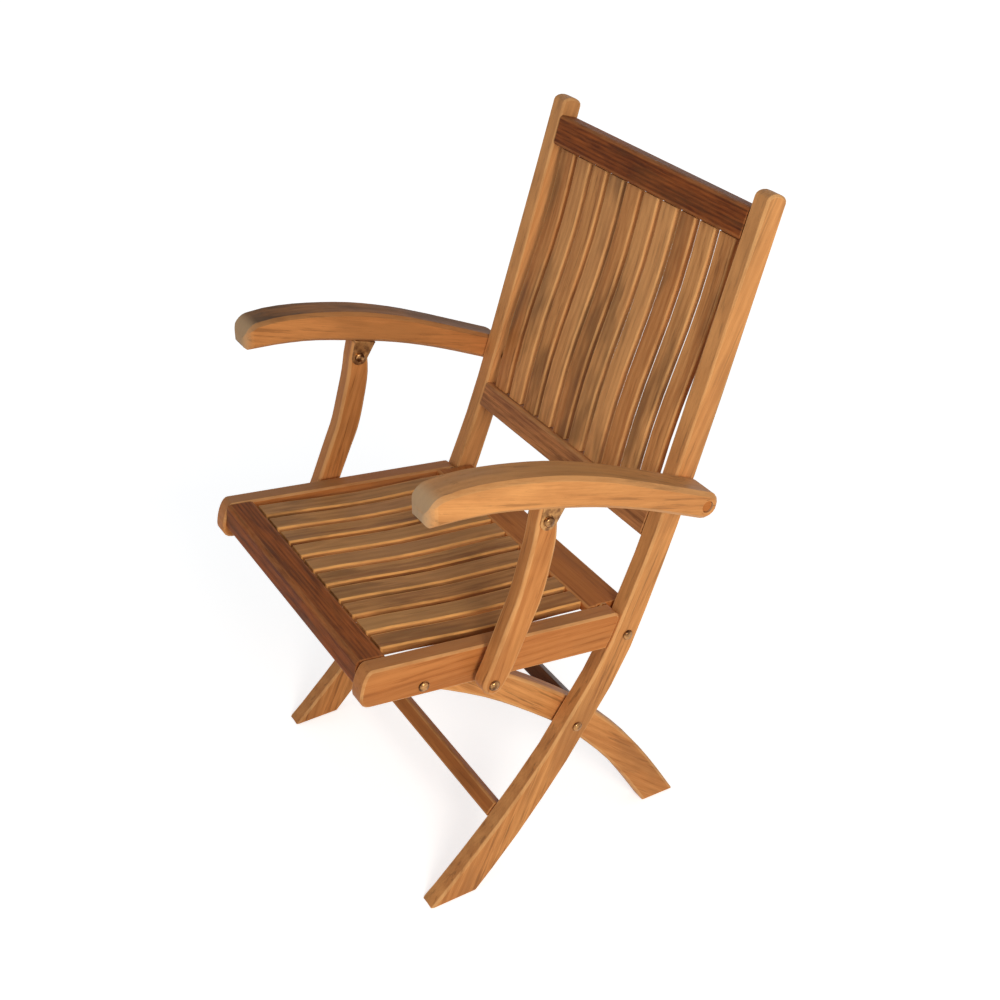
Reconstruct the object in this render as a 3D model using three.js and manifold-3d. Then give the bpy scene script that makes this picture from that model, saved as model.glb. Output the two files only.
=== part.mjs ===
// Folding wooden armchair for a patio or porch, standing open on its four feet.
// Units are millimetres. X runs across the chair, -Y is its front and +Z is up.
// The origin lies on the ground, under the middle of the chair. Left is the sitter's left, +X.

import * as THREE from 'three';
import Module from 'manifold-3d';
import { mergeVertices } from 'three/addons/utils/BufferGeometryUtils.js';

const wasm = await Module();
wasm.setup();

// Overall size in the side view
const chairDepth = 581;
const chairHeight = 911;

// Layers across the chair
const clearWidth = 414.6;
const stileThickness = 27.3;
const railOffset = 2.1;
const railThickness = 26;
const legThickness = 25.9;
const legClearance = 0.7;
const armWidth = 49.2;
const armClearance = 0.4;
const supportThickness = 24.9;
const supportOffset = 4.5;
const jointGap = 0.3;

const stileInner = clearWidth / 2;
const stileOuter = stileInner + stileThickness;
const railInner = stileInner - railOffset;
const railOuter = railInner + railThickness;
const legOuter = railInner - legClearance;
const legInner = legOuter - legThickness;
const armInner = stileOuter + armClearance;
const armOuter = armInner + armWidth;
const supportInner = armInner + supportOffset;
const supportOuter = supportInner + supportThickness;

// Board sizes in the side view, square to each board's run
const stileWidth = 34;
const legWidth = 41;
const armHeight = 40;
const supportWidth = 34;
const edgeEase = 2.5;
const armEase = 5;
const armCorner = 17;
const armNoseReach = 24;
const armNoseLowRadius = 8;

// Centre lines of the boards, as shares of the chair's depth and height, from the ground up
// or from the front back, with each point's share of the board's width
const stileCentreShares = [
  [-0.3665, -0.0447], [-0.169, 0.0825], [-0.019, 0.1977], [0.0495, 0.2633], [0.124, 0.3358],
  [0.177, 0.4133], [0.219, 0.4808], [0.262, 0.5573], [0.355, 0.7411], [0.4741, 0.9893],
];
const stileWidthShares = [1.46, 1.33, 1.18, 1.17, 1.12, 1.05, 0.98, 0.96, 0.93, 0.9];
const legCentreShares = [
  [-0.354, 0.4143], [-0.250, 0.3805], [-0.129, 0.3318], [0.024, 0.2523], [0.107, 0.1977],
  [0.188, 0.1346], [0.259, 0.0656], [0.335, -0.0179],
];
const legWidthShares = [0.88, 0.95, 0.98, 1, 1.03, 1.07, 1.1, 1.11];
const armCentreShares = [
  [-0.340, 0.7153], [-0.287, 0.7148], [-0.203, 0.7081], [-0.093, 0.6924], [0.010, 0.6725],
  [0.090, 0.6532], [0.172, 0.6308], [0.289, 0.597],
];
const armWidthShares = [0.93, 1, 1.02, 1.06, 1.0, 0.94, 0.9, 0.9];
const supportCentreShares = [
  [-0.217, 0.4053], [-0.193, 0.4331], [-0.155, 0.4888], [-0.130, 0.5255], [-0.112, 0.5662],
  [-0.096, 0.609], [-0.091, 0.6403],
];
const supportWidthShares = [0.88, 0.98, 1.02, 1.04, 1.03, 0.96, 0.83];

// Pivots in the side view, as shares of the chair's depth and height
const legPivotShares = [0.0305, 0.2437];
const seatHingeShares = [0.1253, 0.4108];
const hingeBoltShares = [0.159, 0.3785];

// Front end of a line from the seat's hinge along the seat, where its rails' noses begin
const seatFrontShares = [-0.4691, 0.4578];

// Seat
const railHeight = 53;
const railNoseReach = 14;
const frontRailWidth = 40;
const frontRailHeight = 37;
const frontRailSetback = 4;
const frontRailEase = 5;
const rearRailFront = 25;
const rearRailBack = 35;
const rearRailHeight = 14;
const rearRailEase = 2.5;
const rearRailShoulder = 10;
const seatSlatCount = 10;
const seatSlatGap = 8.6;
const seatSlatMargin = 15;
const seatSlatThickness = 12.5;
const seatSlatSag = 4.5;
const slatEase = 1.5;
const slatEndGap = 0.6;

// Back
const topRailHeight = 41;
const topRailThickness = 29;
const topRailMiddleShare = 0.9562;
const lowRailHeight = 37.5;
const lowRailThickness = 24;
const lowRailMiddleShare = 0.5399;
const backRailEase = 4;
const backSlatCount = 10;
const backSlatGap = 8.4;
const backSlatMargin = 14;
const backSlatThickness = 10;
const backSlatRecess = 7;
const backSlatSway = 4;

// Stretchers between the lower legs
const frontStretcherShares = [-0.1582, 0.1118];
const frontStretcherWidth = 22;
const frontStretcherThickness = 20;
const rearStretcherShares = [0.079, 0.227];
const rearStretcherWidth = 30;
const rearStretcherThickness = 20;
const stretcherEase = 2.5;

// Brass fittings
const boltRadius = 3.8;
const boltClearance = 0.3;
const boltHeadRadius = 7.5;
const boltHeadHeight = 4;
const nutRadius = 6.5;
const nutHeight = 3.5;
const spacerRadius = 6.5;
const spacerClearance = 0.5;
const armBoltSink = 11;
const sinkClearance = 0.7;
const plugRecess = 2.4;
const hingePlateThickness = 1.9;
const hingePlateRadius = 9;
const hingePinRadius = 3.4;
const hingePinReach = 17;
const hingePinClearance = 0.4;
const hingeSwingClearance = 0.5;
const hingeBossRadius = 8;
const bracketThickness = 1.6;
const bracketWidth = 24;
const bracketFlare = 8;
const flangeClearance = 0.4;
const cutOverrun = 10;

// Sampling of curves and round pieces
const edgeSteps = 18;
const capSteps = 8;
const roundSegments = 16;
const domeSteps = 3;
const slatSteps = 8;
const faceSteps = 3;
const stileTopShare = 0.6;
const softShare = 0.3;

const teak = new THREE.MeshStandardMaterial({ color: 0xb97a41, roughness: 0.62, metalness: 0 });
const darkTeak = new THREE.MeshStandardMaterial({ color: 0x7a4325, roughness: 0.6, metalness: 0 });
const brass = new THREE.MeshStandardMaterial({ color: 0xb08a4a, roughness: 0.35, metalness: 1 });

// Helpers in the side plane, whose two axes are the chair's Y and Z
function sidePoint(shares) {
  return new THREE.Vector2(shares[0] * chairDepth, shares[1] * chairHeight);
}

function turned(vector) {
  return new THREE.Vector2(-vector.y, vector.x);
}

function offsetPoint(origin, along, alongDistance, across, acrossDistance) {
  return origin.clone().addScaledVector(along, alongDistance).addScaledVector(across, acrossDistance);
}

// Edges of a board that follows a centre line: left and right of the way from its start to its end
function boardEdges(points, widths, steps) {
  const centre = new THREE.SplineCurve(points);
  const [left, right] = [1, -1].map((side) => {
    const edgePoints = points.map((point, index) => {
      const across = turned(centre.getTangent(index / (points.length - 1)));
      return point.clone().addScaledVector(across, side * widths[index] / 2);
    });
    return new THREE.SplineCurve(edgePoints).getSpacedPoints(steps);
  });
  const start = { place: points[0], forward: centre.getTangent(0).negate(), width: widths[0] };
  const end = { place: points.at(-1), forward: centre.getTangent(1), width: widths.at(-1) };
  return { left, right, start, end };
}

function sideBoardEdges(centreShares, width, widthShares) {
  return boardEdges(centreShares.map(sidePoint), widthShares.map((share) => share * width), edgeSteps);
}

// Closed outline of a board. The end cap runs from its right edge to its left edge,
// and the start cap from its left edge to its right edge.
function boardOutline(edges, endCap, startCap) {
  return [...edges.left, ...endCap.toReversed(), ...edges.right.toReversed(), ...startCap.toReversed()];
}

// Rounded end of a board, whose reach is a share of its half width
function roundCap(boardEnd, reachShare) {
  const across = turned(boardEnd.forward);
  const radius = boardEnd.width / 2;
  const points = [];
  for (let step = 1; step < capSteps; step++) {
    const angle = Math.PI * step / capSteps;
    const reach = reachShare * radius * Math.sin(angle);
    points.push(offsetPoint(boardEnd.place, boardEnd.forward, reach, across, -radius * Math.cos(angle)));
  }
  return points;
}

// Nose whose upper corner is one long curve and whose lower corner is a small round
function noseCap(centre, forward, up, height, reach, lowRadius) {
  const points = [];
  for (let step = 1; step <= capSteps; step++) {
    const angle = Math.PI / 2 * (1 - step / capSteps);
    const rise = lowRadius - height / 2 + (height - lowRadius) * Math.sin(angle);
    points.push(offsetPoint(centre, forward, reach * Math.cos(angle), up, rise));
  }
  for (let step = 1; step < capSteps / 2; step++) {
    const angle = -Math.PI * step / capSteps;
    const rise = lowRadius - height / 2 + lowRadius * Math.sin(angle);
    points.push(offsetPoint(centre, forward, reach - lowRadius + lowRadius * Math.cos(angle), up, rise));
  }
  return points;
}

// Part of an outline that lies above the ground
function clipAtGround(points) {
  const kept = [];
  points.forEach((point, index) => {
    const next = points[(index + 1) % points.length];
    if (point.y >= 0) kept.push(point);
    if ((point.y >= 0) !== (next.y >= 0)) kept.push(point.clone().lerp(next, point.y / (point.y - next.y)));
  });
  return kept;
}

// Rectangle with eased corners, from a corner point and two directions
function easedRectangle(corner, along, length, across, width, ease) {
  const corners = [[0, 0], [1, 0], [1, 1], [0, 1]];
  return corners.flatMap(([alongShare, acrossShare], index) => {
    const inward = [alongShare ? -1 : 1, acrossShare ? -1 : 1];
    const alongCut = [length * alongShare + inward[0] * ease, width * acrossShare];
    const acrossCut = [length * alongShare, width * acrossShare + inward[1] * ease];
    const softCorner = [
      length * alongShare + inward[0] * ease * softShare,
      width * acrossShare + inward[1] * ease * softShare,
    ];
    const order = index % 2 ? [alongCut, softCorner, acrossCut] : [acrossCut, softCorner, alongCut];
    return order.map(([alongPlace, acrossPlace]) => offsetPoint(corner, along, alongPlace, across, acrossPlace));
  });
}

// Nearest place on a sampled edge, with the edge's direction there
function nearestOnEdge(edge, point) {
  let best = null;
  for (let index = 1; index < edge.length; index++) {
    const from = edge[index - 1];
    const run = edge[index].clone().sub(from);
    const share = THREE.MathUtils.clamp(point.clone().sub(from).dot(run) / run.lengthSq(), 0, 1);
    const place = from.clone().addScaledVector(run, share);
    const distance = place.distanceTo(point);
    if (!best || distance < best.distance) best = { place, distance, along: run.normalize() };
  }
  return best;
}

// Place where a sampled edge reaches a level above an origin, with the edge's direction there
function edgeAtLevel(edge, origin, up, level) {
  const levels = edge.map((point) => point.clone().sub(origin).dot(up));
  const index = levels.findIndex((pointLevel) => pointLevel >= level);
  const share = (level - levels[index - 1]) / (levels[index] - levels[index - 1]);
  const place = edge[index - 1].clone().lerp(edge[index], share);
  return { place, along: edge[index].clone().sub(edge[index - 1]).normalize() };
}

// Solids. A board lies flat here: its outline in local X and Y, its thickness along local Z.
function signedArea(points) {
  return THREE.ShapeUtils.area(points);
}

function boardGeometry(points, thickness, ease) {
  const outline = signedArea(points) < 0 ? points.toReversed() : points;
  const geometry = new THREE.ExtrudeGeometry(new THREE.Shape(outline), {
    depth: thickness - 2 * ease,
    bevelEnabled: ease > 0,
    bevelThickness: ease,
    bevelSize: ease,
    bevelOffset: -ease,
    bevelSegments: 1,
  });
  return geometry.translate(0, 0, ease);
}

function roundGeometry(profile) {
  return new THREE.LatheGeometry(profile.map(([radius, height]) => new THREE.Vector2(radius, height)), roundSegments);
}

function solidOf(geometry) {
  const bare = geometry.clone();
  bare.deleteAttribute('normal');
  bare.deleteAttribute('uv');
  const merged = mergeVertices(bare);
  const vertProperties = new Float32Array(merged.attributes.position.array);
  const triVerts = new Uint32Array(merged.index.array);
  return new wasm.Manifold(new wasm.Mesh({ numProp: 3, vertProperties, triVerts }));
}

function geometryOf(solid) {
  const mesh = solid.getMesh();
  const geometry = new THREE.BufferGeometry();
  geometry.setAttribute('position', new THREE.BufferAttribute(new Float32Array(mesh.vertProperties), 3));
  geometry.setIndex(new THREE.BufferAttribute(new Uint32Array(mesh.triVerts), 1));
  geometry.computeVertexNormals();
  return geometry;
}

// Round cutter or pin along a board's thickness
function crossPin(centre, radius, low, high) {
  const geometry = roundGeometry([[0, low], [radius, low], [radius, high], [0, high]]);
  geometry.rotateX(Math.PI / 2);
  return solidOf(geometry.translate(centre.x, centre.y, 0));
}

function drilled(solid, centres, radius, low, high) {
  return centres.reduce((cut, centre) => cut.subtract(crossPin(centre, radius, low, high)), solid);
}

// Meshes and groups
const sideTurn = new THREE.Matrix4().makeBasis(
  new THREE.Vector3(0, 1, 0), new THREE.Vector3(0, 0, 1), new THREE.Vector3(1, 0, 0));

function addBoard(parent, name, geometry, material, lowX) {
  const mesh = new THREE.Mesh(geometry, material.clone());
  mesh.name = name;
  mesh.rotation.setFromRotationMatrix(sideTurn);
  mesh.position.x = lowX;
  parent.add(mesh);
}

// Board that is the same on both sides of the chair, between an inner and an outer face
const sides = [['left', 1], ['right', -1]];

function addPair(parent, name, geometryFor, material, inner, outer) {
  for (const [sideName, side] of sides) {
    const target = parent[sideName] ?? parent;
    addBoard(target, `${name}_${sideName}`, geometryFor(side), material, side > 0 ? inner : -outer);
  }
}

// Bolts on an axis across the chair, one a side: a domed head outside, a shank and a tail.
// The tail is a list of radii, each with its distance past the shank's end.
const nutTail = [[nutRadius, 0], [nutRadius, nutHeight / 2], [nutRadius / 2, nutHeight], [0, nutHeight]];
const flushTail = [[0, 0]];

function addBolts(parent, name, place, headX, endX, tail) {
  const length = headX - endX;
  const head = [[0, boltHeadHeight]];
  for (let step = 1; step <= domeSteps; step++) {
    const angle = Math.PI / 2 * step / domeSteps;
    head.push([boltHeadRadius * Math.sin(angle), boltHeadHeight * Math.cos(angle)]);
  }
  const shank = [[boltRadius, 0], [boltRadius, -length]];
  const tailProfile = tail.map(([radius, distance]) => [radius, -length - distance]);
  const profile = [...head, ...shank, ...tailProfile].toReversed();
  for (const [sideName, side] of sides) {
    const mesh = new THREE.Mesh(roundGeometry(profile), brass.clone());
    mesh.name = `${name}_${sideName}`;
    mesh.rotation.z = -side * Math.PI / 2;
    mesh.position.set(side * headX, place.x, place.y);
    (parent[sideName] ?? parent).add(mesh);
  }
}

// Groups that move together
const chair = new THREE.Group();
const backFrame = new THREE.Group();
const seat = new THREE.Group();
const legFrame = new THREE.Group();
const arms = { left: new THREE.Group(), right: new THREE.Group() };
const supports = { left: new THREE.Group(), right: new THREE.Group() };
chair.add(backFrame, seat, legFrame, arms.left, arms.right);
arms.left.add(supports.left);
arms.right.add(supports.right);

// Shared places in the side view
const boltHole = boltRadius + boltClearance;
const legPivot = sidePoint(legPivotShares);
const seatHinge = sidePoint(seatHingeShares);
const hingeBolt = sidePoint(hingeBoltShares);

const stileEdges = sideBoardEdges(stileCentreShares, stileWidth, stileWidthShares);
const stileFront = stileEdges.left;
const legEdges = sideBoardEdges(legCentreShares, legWidth, legWidthShares);
const armEdges = sideBoardEdges(armCentreShares, armHeight, armWidthShares);
const supportEdges = sideBoardEdges(supportCentreShares, supportWidth, supportWidthShares);
const seatBolt = legEdges.start.place;
const armPivot = armEdges.end.place;
const supportTopPivot = supportEdges.end.place;
const supportFootPivot = supportEdges.start.place;

// Seat frame: distances back along the seat and up from it, both from the seat's hinge
const seatFront = sidePoint(seatFrontShares);
const railReach = seatFront.distanceTo(seatHinge);
const seatBack = seatHinge.clone().sub(seatFront).normalize();
const seatUp = turned(seatBack);
const hingeFace = nearestOnEdge(stileFront, seatHinge);
const hingeInset = hingeFace.distance - jointGap;

function seatPoint(back, up) {
  return offsetPoint(seatHinge, seatBack, back, seatUp, up);
}

// Stiles, each a rear post and a front leg in one curved board
function stileGeometry() {
  const outline = clipAtGround(boardOutline(stileEdges, roundCap(stileEdges.end, stileTopShare), []));
  const board = solidOf(boardGeometry(outline, stileThickness, edgeEase));
  const holes = [legPivot, hingeBolt, armPivot];
  return geometryOf(drilled(board, holes, boltHole, -cutOverrun, stileThickness + cutOverrun));
}

addPair(backFrame, 'stile', stileGeometry, teak, stileInner, stileOuter);

// Bar across the chair, square at both ends
function addBar(parent, name, outline, material, halfLength) {
  addBoard(parent, name, boardGeometry(outline, 2 * halfLength, 0), material, -halfLength);
}

// Back rails, flush with the front of the stiles
const betweenStiles = stileInner - jointGap;
const groundOrigin = new THREE.Vector2();
const plumb = new THREE.Vector2(0, 1);

function addBackRail(name, middleShare, height, thickness) {
  const { place, along } = edgeAtLevel(stileFront, groundOrigin, plumb, middleShare * chairHeight);
  const corner = place.addScaledVector(along, -height / 2);
  const outline = easedRectangle(corner, along, height, turned(along).negate(), thickness, backRailEase);
  addBar(backFrame, name, outline, darkTeak, betweenStiles);
}

addBackRail('top_back_rail', topRailMiddleShare, topRailHeight, topRailThickness);
addBackRail('lower_back_rail', lowRailMiddleShare, lowRailHeight, lowRailThickness);

// Row of equal slats with equal gaps, and a margin between the end slats and the side faces
function addSlats(parent, name, outline, count, gap, margin, halfWidth) {
  const pitch = (2 * (halfWidth - margin) + gap) / count;
  const width = pitch - gap;
  for (let index = 0; index < count; index++) {
    const lowX = margin - halfWidth + pitch * index;
    const slatName = `${name}_${String(index + 1).padStart(2, '0')}`;
    addBoard(parent, slatName, boardGeometry(outline, width, slatEase), teak, lowX);
  }
}

// Back slats, which sway forward in their lower half and back in their upper half
const slatStart = edgeAtLevel(stileFront, groundOrigin, plumb, lowRailMiddleShare * chairHeight);
const slatEnd = edgeAtLevel(stileFront, groundOrigin, plumb, topRailMiddleShare * chairHeight);
slatStart.place.addScaledVector(slatStart.along, lowRailHeight / 2 + slatEndGap);
slatEnd.place.addScaledVector(slatEnd.along, -topRailHeight / 2 - slatEndGap);
const backSlatPoints = [];
for (let step = 0; step <= slatSteps; step++) {
  const share = step / slatSteps;
  const chord = slatStart.place.clone().lerp(slatEnd.place, share);
  const rearward = turned(slatStart.along).negate();
  const depth = backSlatRecess + backSlatThickness / 2 - backSlatSway * Math.sin(2 * Math.PI * share);
  backSlatPoints.push(chord.addScaledVector(rearward, depth));
}
const backSlatEdges = boardEdges(backSlatPoints, backSlatPoints.map(() => backSlatThickness), slatSteps);
addSlats(backFrame, 'back_slat', boardOutline(backSlatEdges, [], []), backSlatCount, backSlatGap,
  backSlatMargin, stileInner);

// Stretchers, centred on a place and turned along the board beside them
function addStretcher(parent, name, middle, boardEdge, width, thickness, halfLength) {
  const { along } = nearestOnEdge(boardEdge, middle);
  const across = turned(along);
  const corner = offsetPoint(middle, along, -width / 2, across, -thickness / 2);
  const outline = easedRectangle(corner, along, width, across, thickness, stretcherEase);
  addBar(parent, name, outline, teak, halfLength);
}

const frontStretcherMiddle = sidePoint(frontStretcherShares);
addStretcher(backFrame, 'front_leg_stretcher', frontStretcherMiddle, stileFront,
  frontStretcherWidth, frontStretcherThickness, betweenStiles);

// Seat side rails: a rounded nose in front, and a rear end that rests on the stile
function railRearFace() {
  const points = [];
  const lowLevel = hingeInset - railHeight;
  const faceLevel = hingeFace.place.clone().sub(seatHinge).dot(seatUp);
  for (let step = 0; step < faceSteps; step++) {
    const level = THREE.MathUtils.lerp(lowLevel, faceLevel, step / faceSteps);
    const { place, along } = edgeAtLevel(stileFront, seatHinge, seatUp, level);
    points.push(place.addScaledVector(turned(along), jointGap));
  }
  const startAngle = hingeFace.place.clone().sub(seatHinge).angle();
  const turn = seatUp.angle() - startAngle;
  for (let step = 0; step <= capSteps; step++) {
    const angle = startAngle + (turn < 0 ? turn + 2 * Math.PI : turn) * step / capSteps;
    points.push(new THREE.Vector2(Math.cos(angle), Math.sin(angle)).multiplyScalar(hingeInset).add(seatHinge));
  }
  return points;
}

function railGeometry(side) {
  const noseCentre = seatPoint(-railReach, hingeInset - railHeight / 2);
  const noseForward = seatBack.clone().negate();
  const nose = noseCap(noseCentre, noseForward, seatUp, railHeight, railNoseReach, railNoseReach);
  const outline = [
    seatPoint(-railReach, hingeInset), ...nose, seatPoint(-railReach, hingeInset - railHeight), ...railRearFace(),
  ];
  const board = solidOf(boardGeometry(outline, railThickness, edgeEase));
  const bolted = drilled(board, [seatBolt], boltHole, -cutOverrun, railThickness + cutOverrun);
  const depth = hingePinReach + hingePinClearance;
  const low = side > 0 ? -cutOverrun : railThickness - depth;
  const high = side > 0 ? depth : railThickness + cutOverrun;
  return geometryOf(drilled(bolted, [seatHinge], hingePinRadius + hingePinClearance, low, high));
}

addPair(seat, 'seat_rail', railGeometry, teak, railInner, railOuter);

// Front and rear rails of the seat, between its side rails
const betweenRails = railInner - jointGap;
const hingePlateOuter = betweenRails;
const hingePlateInner = hingePlateOuter - hingePlateThickness;
const frontRailBack = frontRailWidth + frontRailSetback - railReach - railNoseReach;

const frontRailOutline = easedRectangle(seatPoint(frontRailBack, hingeInset), seatBack.clone().negate(),
  frontRailWidth, seatUp.clone().negate(), frontRailHeight, frontRailEase);
addBar(seat, 'seat_front_rail', frontRailOutline, darkTeak, betweenRails);

function rearRailGeometry() {
  const outline = easedRectangle(seatPoint(-rearRailFront, hingeInset), seatBack, rearRailFront + rearRailBack,
    seatUp.clone().negate(), rearRailHeight, rearRailEase);
  const board = solidOf(boardGeometry(outline, 2 * betweenRails, 0));
  const notchLength = rearRailShoulder + rearRailBack + cutOverrun;
  const notchWidth = betweenRails - hingePlateInner + hingeSwingClearance;
  const notchOutline = easedRectangle(seatPoint(-rearRailShoulder, hingeInset + cutOverrun), seatBack, notchLength,
    seatUp.clone().negate(), rearRailHeight + 2 * cutOverrun, 0);
  const notches = [-cutOverrun, 2 * betweenRails - notchWidth].map((low) =>
    solidOf(boardGeometry(notchOutline, notchWidth + cutOverrun, 0).translate(0, 0, low)));
  return geometryOf(notches.reduce((cut, notch) => cut.subtract(notch), board));
}

addBoard(seat, 'seat_rear_rail', rearRailGeometry(), teak, -betweenRails);

// Seat slats, a little dished between the front and rear rails
const seatSlatPoints = [];
for (let step = 0; step <= slatSteps; step++) {
  const share = step / slatSteps;
  const back = THREE.MathUtils.lerp(frontRailBack + jointGap, -rearRailFront - jointGap, share);
  const dish = seatSlatSag * (1 - Math.cos(2 * Math.PI * share)) / 2;
  seatSlatPoints.push(seatPoint(back, hingeInset - seatSlatThickness / 2 - dish));
}
const seatSlatEdges = boardEdges(seatSlatPoints, seatSlatPoints.map(() => seatSlatThickness), slatSteps);
addSlats(seat, 'seat_slat', boardOutline(seatSlatEdges, [], []), seatSlatCount, seatSlatGap,
  seatSlatMargin, railInner);

// Brackets that carry the seat: a plate on the hinge bolt, with a pin into the seat rail
function hingeBracketGeometry(side) {
  const reach = seatHinge.clone().sub(hingeBolt).normalize();
  const width = 2 * hingePlateRadius;
  const hingeEnd = roundCap({ place: seatHinge, forward: reach, width }, 1);
  const boltEnd = roundCap({ place: hingeBolt, forward: reach.clone().negate(), width }, 1);
  const outerFace = seatHingeOuter;
  const localSpan = (low, high) => (side > 0
    ? [low - hingePlateInner, high - hingePlateInner]
    : [outerFace - high, outerFace - low]);
  const [plateLow] = localSpan(hingePlateInner, hingePlateOuter);
  const plate = solidOf(boardGeometry([...hingeEnd, ...boltEnd], hingePlateThickness, 0).translate(0, 0, plateLow));
  const boss = crossPin(hingeBolt, hingeBossRadius, ...localSpan(hingePlateInner, betweenStiles));
  const pin = crossPin(seatHinge, hingePinRadius, ...localSpan(hingePlateInner, outerFace));
  const bracket = plate.add(boss).add(pin);
  return geometryOf(drilled(bracket, [hingeBolt], boltHole, -cutOverrun, outerFace - hingePlateInner + cutOverrun));
}

const seatHingeOuter = railInner + hingePinReach;
addPair(backFrame, 'seat_hinge_bracket', hingeBracketGeometry, brass, hingePlateInner, seatHingeOuter);

// Rear legs, which cross the stiles on their inner side
function legGeometry() {
  const outline = clipAtGround(boardOutline(legEdges, [], roundCap(legEdges.start, 1)));
  const board = solidOf(boardGeometry(outline, legThickness, edgeEase));
  return geometryOf(drilled(board, [legPivot], boltHole, -cutOverrun, legThickness + cutOverrun));
}

addPair(legFrame, 'rear_leg', legGeometry, teak, legInner, legOuter);
addStretcher(legFrame, 'rear_leg_stretcher', sidePoint(rearStretcherShares), legEdges.left,
  rearStretcherWidth, rearStretcherThickness, legInner - jointGap);

// Armrests, curved down to their pivots on the stiles, with a rounded front end
function armPlan(outline) {
  const front = Math.min(...outline.map((point) => point.x));
  const back = Math.max(...outline.map((point) => point.x)) + cutOverrun;
  const points = [new THREE.Vector2(back, 0), new THREE.Vector2(back, armWidth)];
  for (const [middle, startAngle] of [[armWidth - armCorner, Math.PI / 2], [armCorner, Math.PI]]) {
    for (let step = 0; step <= capSteps; step++) {
      const angle = startAngle + Math.PI / 2 * step / capSteps;
      const corner = new THREE.Vector2(Math.cos(angle), Math.sin(angle)).multiplyScalar(armCorner);
      points.push(corner.add(new THREE.Vector2(front + armCorner, middle)));
    }
  }
  return points;
}

function armGeometry(side) {
  const { place, forward, width } = armEdges.start;
  const nose = noseCap(place, forward, turned(forward).negate(), width, armNoseReach, armNoseLowRadius);
  const outline = boardOutline(armEdges, roundCap(armEdges.end, 1), nose);
  const plan = boardGeometry(armPlan(outline), chairHeight, 0).rotateX(Math.PI / 2).translate(0, chairHeight, 0);
  const board = solidOf(boardGeometry(outline, armWidth, armEase)).intersect(solidOf(plan));
  const bolted = drilled(board, [armPivot], boltHole, -cutOverrun, armWidth + cutOverrun);
  const low = side > 0 ? armWidth - armBoltSink : -cutOverrun;
  const high = side > 0 ? armWidth + cutOverrun : armBoltSink;
  return geometryOf(drilled(bolted, [armPivot], armSinkRadius, low, high));
}

const armSinkRadius = boltHeadRadius + sinkClearance;
addPair(arms, 'armrest', armGeometry, teak, armInner, armOuter);

// Wooden plugs that cover the heads of the arm pivot bolts, a little below the arms' outer faces
const armBoltHeadX = armOuter - armBoltSink + jointGap;
const plugInner = armBoltHeadX + boltHeadHeight + jointGap;
const plugOuter = armOuter - plugRecess;
const plug = crossPin(armPivot, armSinkRadius - jointGap, 0, plugOuter - plugInner);
addPair(arms, 'arm_pivot_plug', () => geometryOf(plug), teak, plugInner, plugOuter);

// Brackets under the arms, each a flange and two ears around the support's upper end
const armFace = nearestOnEdge(armEdges.right, supportTopPivot);
const bracketUp = turned(armFace.along);
const flangeTop = armFace.distance - flangeClearance;
const flangeBottom = flangeTop - bracketThickness;
const supportTop = flangeBottom - jointGap;
const bracketInner = supportInner - jointGap - bracketThickness;
const bracketOuter = supportOuter + jointGap + bracketThickness;

function bracketPoint(along, up) {
  return offsetPoint(supportTopPivot, armFace.along, along, bracketUp, up);
}

function bracketGeometry() {
  const halfWidth = bracketWidth / 2;
  const lowEnd = roundCap({ place: supportTopPivot, forward: bracketUp.clone().negate(), width: bracketWidth }, 1);
  const ear = [bracketPoint(halfWidth + bracketFlare, flangeTop), bracketPoint(-halfWidth, flangeTop), ...lowEnd];
  const flange = easedRectangle(bracketPoint(-halfWidth, flangeBottom), armFace.along,
    bracketWidth + bracketFlare, bracketUp, bracketThickness, 0);
  const span = bracketOuter - bracketInner;
  const ears = [0, span - bracketThickness].map((low) =>
    solidOf(boardGeometry(ear, bracketThickness, 0).translate(0, 0, low)));
  const bracket = ears.reduce((joined, one) => joined.add(one), solidOf(boardGeometry(flange, span, 0)));
  return geometryOf(drilled(bracket, [supportTopPivot], boltHole, -cutOverrun, span + cutOverrun));
}

addPair(arms, 'arm_bracket', bracketGeometry, brass, bracketInner, bracketOuter);

// Arm supports: a round foot beside the seat rail, and a top that turns under the bracket's flange
function supportTopCap() {
  const halfWidth = supportEdges.end.width / 2;
  const rearAngle = Math.acos(halfWidth / supportTop);
  const points = [];
  for (let step = 0; step <= capSteps / 2; step++) {
    const angle = THREE.MathUtils.lerp(rearAngle, Math.PI / 2, step / (capSteps / 2));
    points.push(bracketPoint(supportTop * Math.cos(angle), supportTop * Math.sin(angle)));
  }
  return [...points, bracketPoint(-halfWidth, supportTop)];
}

function supportGeometry() {
  const outline = boardOutline(supportEdges, supportTopCap(), roundCap(supportEdges.start, 1));
  const board = solidOf(boardGeometry(outline, supportThickness, edgeEase));
  const holes = [supportTopPivot, supportFootPivot];
  return geometryOf(drilled(board, holes, boltHole, -cutOverrun, supportThickness + cutOverrun));
}

addPair(supports, 'arm_support', supportGeometry, teak, supportInner, supportOuter);

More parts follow.
